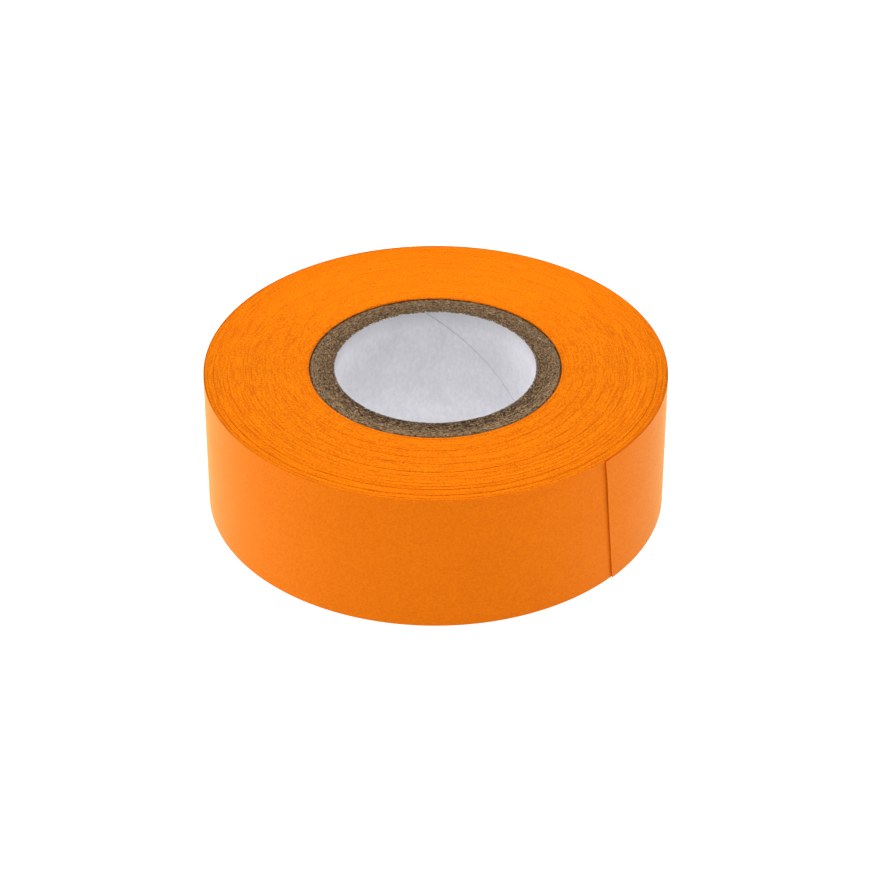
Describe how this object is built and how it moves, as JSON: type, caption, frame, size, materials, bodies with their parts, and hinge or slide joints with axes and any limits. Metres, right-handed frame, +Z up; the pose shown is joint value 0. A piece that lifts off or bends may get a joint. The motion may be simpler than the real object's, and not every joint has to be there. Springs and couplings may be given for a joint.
{
  "type": "flagging tape roll",
  "caption": "Roll of orange non-adhesive marking tape on a thick paperboard core, with a loose outer end that peels away.",
  "frame": {"origin": "centre of the face that the roll lies on, on the bore's axis", "axes": "+Z up along the bore; +X to the right of a viewer who stands at -Y, looking along +Y; the tape's cut end is towards -Y and +X"},
  "size_m": [0.0941, 0.0939, 0.0302],
  "materials": {
    "tape_film": "satin",
    "chipboard": "matte",
    "liner_paper": "satin"
  },
  "bodies": {
    "roll": {"core_liner": "liner_paper", "core_ply_1": "chipboard", "core_ply_2": "chipboard", "core_ply_3": "chipboard", "core_ply_4": "chipboard", "core_ply_5": "chipboard", "core_ply_6": "chipboard", "core_ply_7": "chipboard", "tape_wound_turns": "tape_film", "tape_outer_turn": "tape_film"},
    "tail_1": {"tape_tail_1": "tape_film"},
    "tail_2": {"tape_tail_2": "tape_film"},
    "tail_3": {"tape_tail_3": "tape_film"},
    "tail_4": {"tape_tail_4": "tape_film"},
    "tail_5": {"tape_tail_5": "tape_film"},
    "tail_6": {"tape_tail_6": "tape_film"},
    "tail_7": {"tape_tail_7": "tape_film"},
    "tail_8": {"tape_tail_8": "tape_film"},
    "tail_9": {"tape_tail_9": "tape_film"},
    "tail_10": {"tape_tail_10": "tape_film"},
    "tail_11": {"tape_tail_11": "tape_film"},
    "tail_12": {"tape_tail_12": "tape_film"}
  },
  "joints": [
    {"name": "tail_bend_1", "type": "hinge", "parent": "roll", "child": "tail_1", "pos_m": [0.01096, 0.04565, 0.01508], "axis": [0, 0, 1], "range_deg": [0, 10]},
    {"name": "tail_bend_2", "type": "hinge", "parent": "tail_1", "child": "tail_2", "pos_m": [0.01875, 0.04304, 0.01508], "axis": [0, 0, 1], "range_deg": [0, 10]},
    {"name": "tail_bend_3", "type": "hinge", "parent": "tail_2", "child": "tail_3", "pos_m": [0.02596, 0.03913, 0.01508], "axis": [0, 0, 1], "range_deg": [0, 10]},
    {"name": "tail_bend_4", "type": "hinge", "parent": "tail_3", "child": "tail_4", "pos_m": [0.03239, 0.03401, 0.01508], "axis": [0, 0, 1], "range_deg": [0, 10]},
    {"name": "tail_bend_5", "type": "hinge", "parent": "tail_4", "child": "tail_5", "pos_m": [0.03783, 0.02786, 0.01508], "axis": [0, 0, 1], "range_deg": [0, 10]},
    {"name": "tail_bend_6", "type": "hinge", "parent": "tail_5", "child": "tail_6", "pos_m": [0.04212, 0.02086, 0.01508], "axis": [0, 0, 1], "range_deg": [0, 10]},
    {"name": "tail_bend_7", "type": "hinge", "parent": "tail_6", "child": "tail_7", "pos_m": [0.04513, 0.01322, 0.01508], "axis": [0, 0, 1], "range_deg": [0, 10]},
    {"name": "tail_bend_8", "type": "hinge", "parent": "tail_7", "child": "tail_8", "pos_m": [0.04677, 0.00518, 0.01508], "axis": [0, 0, 1], "range_deg": [0, 10]},
    {"name": "tail_bend_9", "type": "hinge", "parent": "tail_8", "child": "tail_9", "pos_m": [0.04698, -0.00303, 0.01508], "axis": [0, 0, 1], "range_deg": [0, 10]},
    {"name": "tail_bend_10", "type": "hinge", "parent": "tail_9", "child": "tail_10", "pos_m": [0.04577, -0.01115, 0.01508], "axis": [0, 0, 1], "range_deg": [0, 10]},
    {"name": "tail_bend_11", "type": "hinge", "parent": "tail_10", "child": "tail_11", "pos_m": [0.04316, -0.01894, 0.01508], "axis": [0, 0, 1], "range_deg": [0, 10]},
    {"name": "tail_bend_12", "type": "hinge", "parent": "tail_11", "child": "tail_12", "pos_m": [0.03924, -0.02616, 0.01508], "axis": [0, 0, 1], "range_deg": [0, 10]}
  ]
}
